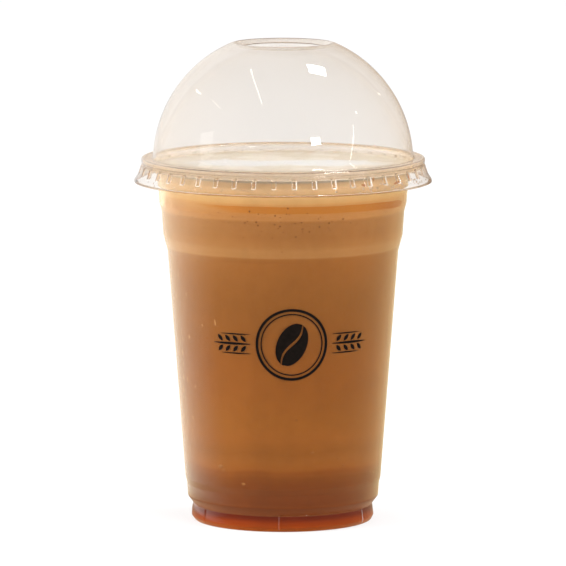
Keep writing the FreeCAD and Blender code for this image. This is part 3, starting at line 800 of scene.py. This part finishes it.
def painted_pale_sides(k, col, obj, sep, z0, z1):
    """Paler wall at the sides and all round the back, above z0: painted light standing in for the bright rim at the
    outline; and a painted lighter tint on the left, where the light falls.
    """
    across = k.math("ABSOLUTE", k.math("ARCTAN2", sep.outputs["X"], k.math("MULTIPLY", sep.outputs["Y"], -1.0)))
    across = k.math("ADD", across, k.range(sep.outputs["X"], 0.01, -0.01, 0.0, 0.12))
    across = k.math("ADD", across, k.math("MULTIPLY", k.math("SUBTRACT", k.noise(obj, 75, 4.0, 0.6), 0.5), 0.9))
    where = k.math("MULTIPLY", k.range(across, 1.24, 1.50, smooth=True), k.range(sep.outputs["Z"], z0, z1, smooth=True))
    col = k.mix(k.math("MULTIPLY", where, 0.85), col, lit(236, 219, 196))
    az = k.math("ARCTAN2", sep.outputs["X"], k.math("MULTIPLY", sep.outputs["Y"], -1.0))
    left = k.math("MULTIPLY", k.range(az, -0.15, -1.0, smooth=True), k.range(sep.outputs["Z"], 0.080, 0.104, smooth=True))
    left = k.math("MULTIPLY", left, k.range(az, -3.0, -1.9, smooth=True))
    return k.mix(k.math("MULTIPLY", left, 0.10), col, lit(205, 184, 148))


coffee_mat = drink("milky_coffee", body_stops, 20.2, 113.1, 0.10, extra=painted_reflection_band)
settled_mat = drink("settled_coffee", settled_stops, 0.4, 20.2, 0.05)


def froth_patches(k, col, obj, sep):
    """Top of the froth: cream patches round a smoother, whiter band, with flecks."""
    wob = k.math("MULTIPLY", k.math("SUBTRACT", k.noise(obj, 120, 4.0, 0.6), 0.5), 0.014)
    y = k.math("ADD", sep.outputs["Y"], wob)
    band = k.math("MULTIPLY", k.range(y, -0.003, 0.005, smooth=True), k.range(y, 0.021, 0.015, smooth=True))
    x = k.math("ADD", sep.outputs["X"], k.math("MULTIPLY", wob, 2.0))
    band = k.math("MULTIPLY", band, k.range(x, -0.038, -0.022, smooth=True))
    band = k.math("MULTIPLY", band, k.range(x, 0.038, 0.022, smooth=True))
    patch = k.range(k.noise(obj, 95, 5.0, 0.62, 0.4), 0.43, 0.57, smooth=True)
    cream = k.mix(patch, (0.555, 0.51, 0.425), (0.62, 0.585, 0.52))
    top = k.mix(band, cream, (0.63, 0.64, 0.645))
    fleck = k.range(k.noise(obj, 520, 2.0), 0.70, 0.76, smooth=True)
    top = k.mix(k.math("MULTIPLY", fleck, 0.5), top, (0.55, 0.40, 0.26))
    # the froth's side on the wall gets the same painted pale sides
    col = painted_pale_sides(k, col, obj, sep, 0.1078, 0.1092)
    return k.mix(k.range(sep.outputs["Z"], 0.1200, 0.1208, smooth=True), col, top)


froth_mat = drink("pale_froth", froth_stops, 113.1, 121.6, 0.1, extra=froth_patches, rough=0.5)

k = Mat("black_print_ink")
p = k.node("ShaderNodeBsdfPrincipled")
tc = k.node("ShaderNodeTexCoord")
ink_noise = k.noise(tc.outputs["Object"], 900, 3.0)
k.link(k.ramp(ink_noise, [(0.3, (0.003, 0.002, 0.0015)), (0.75, (0.008, 0.005, 0.004))]), p.inputs["Base Color"])
k.set(p, Roughness=0.5)
p.inputs["Specular IOR Level"].default_value = 0.15
k.link(p.outputs[0], k.out.inputs["Surface"])
ink_mat = k.m



def wet(name, low, high, rough=0.3, spec=0.3):
    """Small wet marks: two tones by fine noise."""
    k = Mat(name)
    tc = k.node("ShaderNodeTexCoord")
    p = k.node("ShaderNodeBsdfPrincipled")
    k.link(k.ramp(k.noise(tc.outputs["Object"], 700, 2.0), [(0.35, low), (0.65, high)]), p.inputs["Base Color"])
    k.set(p, Roughness=rough)
    p.inputs["Specular IOR Level"].default_value = spec
    k.link(p.outputs[0], k.out.inputs["Surface"])
    return k.m


bubble_mat = wet("dark_bubbles", lit(112, 67, 32), lit(136, 86, 46), spec=0.1)
fleck_mat = wet("cream_flecks", lit(148, 91, 45), lit(162, 108, 62), spec=0.1)
streak_mat = wet("thin_foam", lit(172, 116, 64), lit(190, 138, 86), spec=0.1)
smear_mat = wet("coffee_smears", lit(168, 104, 54), lit(196, 134, 80))
water = clear("water_drops", (1.0, 1.0, 1.0), 1.33, 0.0)

for ob, mat in ((cup, cup_clear), (lid, lid_clear), (coffee, coffee_mat), (settled, settled_mat),
                (froth, froth_mat), (ink, ink_mat), (bubbles, bubble_mat), (flecks, fleck_mat),
                (streaks, streak_mat), (smears, smear_mat), (drops, water)):
    ob.data.materials.append(mat)
cup.data.materials.append(cup_foot)
low = [max(cup.data.vertices[i].co.z for i in f.vertices) < 0.0090 for f in cup.data.polygons]
cup.data.polygons.foreach_set("material_index", [int(v) for v in low])

# --------------------------------------------------------------- riding, CAD parts hidden
for ob, node, slot in ((cup, "cup", "cup_plastic"), (lid, "lid", "lid_plastic"), (coffee, "coffee", "coffee"),
                       (settled, "settled_layer", "settled"), (froth, "froth", "froth")):
    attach(ob, "root")
    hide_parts(node)
for ob in (ink, bubbles, flecks, streaks, smears, drops):
    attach(ob, "root")

# ---------------------------------------------------------------------- stage
bpy.ops.mesh.primitive_plane_add(size=30, location=(0, 8, 0))
floor = bpy.context.object
floor.name = "floor"
k = Mat("pale_floor")
p = k.node("ShaderNodeBsdfPrincipled")
k.set(p, Base_Color=(0.35, 0.352, 0.357, 1), Roughness=0.9, Emission_Color=(1, 1, 1, 1), Emission_Strength=0.615)
p.inputs["Specular IOR Level"].default_value = 0.0
floor_mat, floor_lit = k, p
floor.data.materials.append(k.m)

scene = bpy.context.scene
world = bpy.data.worlds.new("studio")
scene.world = world
world.use_nodes = True
wt = world.node_tree
bg = wt.nodes["Background"]
bg.inputs["Strength"].default_value = 1.0


def ranged(nt, sock, a, b, c, d):
    n = nt.nodes.new("ShaderNodeMapRange")
    n.interpolation_type = "SMOOTHSTEP"
    for key, v in (("From Min", a), ("From Max", b), ("To Min", c), ("To Max", d)):
        n.inputs[key].default_value = v
    nt.links.new(sock, n.inputs["Value"])
    return n.outputs["Result"]


def op(nt, kind, p, q):
    n = nt.nodes.new("ShaderNodeMath")
    n.operation = kind
    for i, v in enumerate((p, q)):
        if isinstance(v, (int, float)):
            n.inputs[i].default_value = v
        else:
            nt.links.new(v, n.inputs[i])
    return n.outputs[0]


def mirrored(nt):
    """1 where a ray has come straight off something glossy."""
    lp = nt.nodes.new("ShaderNodeLightPath")
    return op(nt, "MULTIPLY", lp.outputs["Is Glossy Ray"], lp.outputs["Is Reflection Ray"])


def sky():
    """Studio surround: soft white light from all round, stronger from the left;
    in reflections the room is white at the sides and behind, dark in front."""
    tc = wt.nodes.new("ShaderNodeTexCoord")
    sep = wt.nodes.new("ShaderNodeSeparateXYZ")
    wt.links.new(tc.outputs["Generated"], sep.inputs[0])
    x, y = sep.outputs["X"], sep.outputs["Y"]
    left = ranged(wt, x, -0.35, -0.95, 0.0, 1.0)
    right = ranged(wt, x, 0.35, 0.95, 0.0, 0.38)
    front = ranged(wt, y, -0.25, -0.85, 0.0, 0.22)
    soft = op(wt, "SUBTRACT", op(wt, "ADD", op(wt, "ADD", left, right), 1.0), front)
    on_left = ranged(wt, x, 0.2, -0.2, 0.0, 1.0)
    seen_l = op(wt, "MULTIPLY", ranged(wt, y, -0.2, 0.95, 0.0, 1.0), on_left)
    seen_r = op(wt, "MULTIPLY", ranged(wt, y, -0.1, 1.0, 0.0, 0.10), op(wt, "SUBTRACT", 1.0, on_left))
    seen = op(wt, "ADD", seen_l, seen_r)
    lp = wt.nodes.new("ShaderNodeLightPath")
    plain = op(wt, "SUBTRACT", 1.0, op(wt, "MAXIMUM", lp.outputs["Is Camera Ray"], lp.outputs["Is Transmission Ray"]))
    corner = op(wt, "MULTIPLY", ranged(wt, y, 0.0, 0.8, 0.0, 0.6), ranged(wt, x, -0.2, 0.5, 0.0, 1.0))
    soft = op(wt, "SUBTRACT", soft, op(wt, "MULTIPLY", corner, plain))
    m = mirrored(wt)
    joined = wt.nodes.new("ShaderNodeCombineXYZ")
    for i, (c, room) in enumerate(((1.0, 0.38), (0.985, 0.27), (0.965, 0.17))):
        lamp_part = op(wt, "MULTIPLY", op(wt, "MULTIPLY", soft, c), op(wt, "SUBTRACT", 1.0, m))
        room_part = op(wt, "MULTIPLY", op(wt, "ADD", op(wt, "MULTIPLY", seen, c - room), room), m)
        wt.links.new(op(wt, "ADD", lamp_part, room_part), joined.inputs[i])
    wt.links.new(joined.outputs[0], bg.inputs["Color"])


sky()


def floor_finish():
    """White floor; in reflections its far front goes dark, as the room does, and close round the cup it turns drink
    brown, a painted reflection of the cup and painted shade at its foot.
    """
    k, nt = floor_mat, floor_mat.nt
    geo = k.node("ShaderNodeNewGeometry")
    norm = k.node("ShaderNodeVectorMath", operation="NORMALIZE")
    shift = k.node("ShaderNodeVectorMath", operation="ADD")
    k.link(geo.outputs["Position"], shift.inputs[0])
    shift.inputs[1].default_value = (0.0, 0.028, 0.0)
    k.link(shift.outputs[0], norm.inputs[0])
    sep = k.node("ShaderNodeSeparateXYZ")
    k.link(norm.outputs[0], sep.inputs[0])
    beyond = op(nt, "MAXIMUM", ranged(nt, sep.outputs["X"], -0.02, 0.10, 0.0, 0.55),
                op(nt, "MULTIPLY", ranged(nt, sep.outputs["X"], -0.25, 0.0, 0.0, 0.45), ranged(nt, sep.outputs["Y"], 0.6, 0.9, 0.0, 1.0)))
    turned_y = op(nt, "SUBTRACT", sep.outputs["Y"], op(nt, "MULTIPLY", sep.outputs["X"], 0.42))
    turned_y = op(nt, "SUBTRACT", turned_y, beyond)
    front = ranged(nt, turned_y, 1.12, 0.0, 0.0, 1.0)
    away = k.node("ShaderNodeVectorMath", operation="LENGTH")
    k.link(geo.outputs["Position"], away.inputs[0])
    # near the cup: painted reflection of the drink and painted shade
    near = ranged(nt, away.outputs["Value"], 0.080, 0.045, 0.0, 1.0)
    front = op(nt, "MAXIMUM", front, near)
    dark = k.node("ShaderNodeEmission")
    dark.inputs["Color"].default_value = (0.30, 0.21, 0.13, 1)
    mx = k.node("ShaderNodeMixShader")
    k.link(op(nt, "MULTIPLY", mirrored(nt), front), mx.inputs[0])
    k.link(floor_lit.outputs[0], mx.inputs[1])
    k.link(dark.outputs[0], mx.inputs[2])
    k.link(mx.outputs[0], k.out.inputs["Surface"])


floor_finish()


def softbox(name, direction, target, distance, sx, sy, power, colour=(1, 1, 1), gloss=True):
    from mathutils import Vector
    light = bpy.data.lights.new(name, "AREA")
    light.shape = "RECTANGLE"
    light.size, light.size_y = sx, sy
    light.energy = power
    light.color = colour
    ob = bpy.data.objects.new(name, light)
    ob.location = Vector(target) + Vector(direction).normalized() * distance
    ob.rotation_euler = (-Vector(direction)).to_track_quat("-Z", "Y").to_euler()
    ob.visible_glossy = gloss
    ob.visible_transmission = gloss
    ob.visible_camera = False
    scene.collection.objects.link(ob)
    return ob


softbox("left_box", (-1.0, -0.25, 0.25), (0, 0, 0.08), 1.4, 0.8, 1.1, 19, gloss=False)
softbox("right_box", (0.82, -0.57, 0.2), (0, 0, 0.08), 1.5, 0.8, 1.1, 10.5, gloss=False)


def strip_lamp(name, a, b, width, glow, colour=(1.0, 0.95, 0.86)):
    """A narrow lamp from a to b, facing the dome."""
    from mathutils import Matrix, Vector
    a, b, aim = Vector(a), Vector(b), Vector((0.0, -0.02, 0.145))
    x = (b - a).normalized()
    zz = ((a + b) / 2 - aim).normalized()
    y = zz.cross(x).normalized()
    zz = x.cross(y)
    light = bpy.data.lights.new(name, "AREA")
    light.shape = "RECTANGLE"
    light.size, light.size_y = (b - a).length, width
    light.energy = glow * math.pi * light.size * light.size_y
    light.color = colour
    ob = bpy.data.objects.new(name, light)
    ob.matrix_world = Matrix.Translation((a + b) / 2) @ Matrix((x, y, zz)).transposed().to_4x4()
    ob.visible_camera = False
    scene.collection.objects.link(ob)
    return ob


strip_lamp("ceiling_panel", (0.358, 0.243, 1.426), (0.583, 0.310, 1.323), 0.235, 30.0, (1, 1, 1))
strip_lamp("glint_1", (-1.078, 0.117, 1.056), (-1.063, -0.215, 1.062), 0.020, 1.8)
strip_lamp("glint_2", (-0.973, 0.741, 0.849), (-1.049, 0.515, 0.939), 0.016, 6.0)
strip_lamp("tube", (-0.469, 0.296, 1.44), (-0.402, -0.695, 1.317), 0.018, 5.0)
strip_lamp("glint_3", (0.923, 0.912, 0.699), (0.927, 0.927, 0.667), 0.022, 6.0)
strip_lamp("glint_4", (1.168, -0.075, 0.949), (1.195, -0.063, 0.911), 0.030, 8.0)
strip_lamp("window", (-1.294, -0.293, 0.669), (-1.346, -0.486, 0.248), 0.33, 0.9, (1, 1, 1))
strip_lamp("side_tube", (1.214, -0.345, 0.806), (1.25, -0.702, 0.238), 0.016, 7.0, (1, 1, 1))
softbox("front_card", (0.470, -0.790, 0.386), (0, 0, 0.1227), 1.5, 0.21, 0.17, 3)

# --------------------------------------------------------------------- camera
CAM_D, CAM_Z, AIM_Z, FOCAL_PX = 2.2, 0.371, 0.0811, 6497.3
cam = bpy.data.cameras.new("camera")
cam.sensor_fit = "HORIZONTAL"
cam.sensor_width = 36
cam.lens = FOCAL_PX / 566 * 36
cam.clip_end = 100
camera = bpy.data.objects.new("camera", cam)
camera.location = (0, -CAM_D, CAM_Z)
camera.rotation_euler = (math.pi / 2 - math.atan2(CAM_Z - AIM_Z, CAM_D), 0, 0)
scene.collection.objects.link(camera)
scene.camera = camera
scene.view_settings.view_transform = "Standard"
scene.cycles.transparent_max_bounces = 32
scene.cycles.transmission_bounces = 24
scene.cycles.glossy_bounces = 24
scene.cycles.max_bounces = 32
scene.cycles.use_denoising = True
